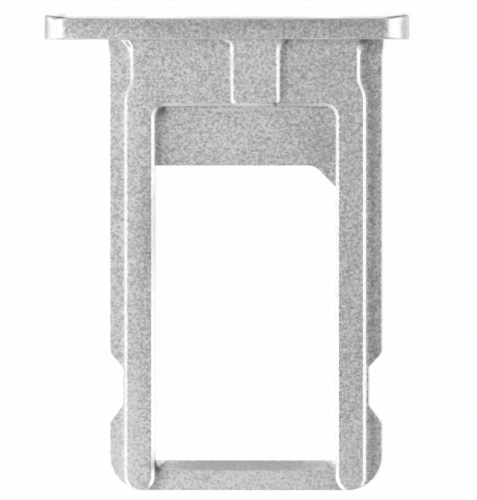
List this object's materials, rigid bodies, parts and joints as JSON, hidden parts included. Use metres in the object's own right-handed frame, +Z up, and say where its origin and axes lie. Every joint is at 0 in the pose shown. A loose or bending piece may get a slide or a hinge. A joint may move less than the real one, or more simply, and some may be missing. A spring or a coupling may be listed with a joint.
{
  "type": "sim card tray",
  "caption": "One-piece metal tray for a nano-size sim card: round-ended head with a pin hole, thin frame with raised rails, keyed contact window, card pocket, detent notches.",
  "frame": {"origin": "under the middle of the tray, level with the lowest line of the head", "axes": "+Z up, out of the side with the raised rails; +Y towards the head; +X to the right"},
  "size_m": [0.0146, 0.019, 0.0023],
  "materials": {
    "anodised_aluminium": "bead-blasted and anodised, satin"
  },
  "bodies": {
    "root": {"tray": "anodised_aluminium"}
  },
  "joints": []
}
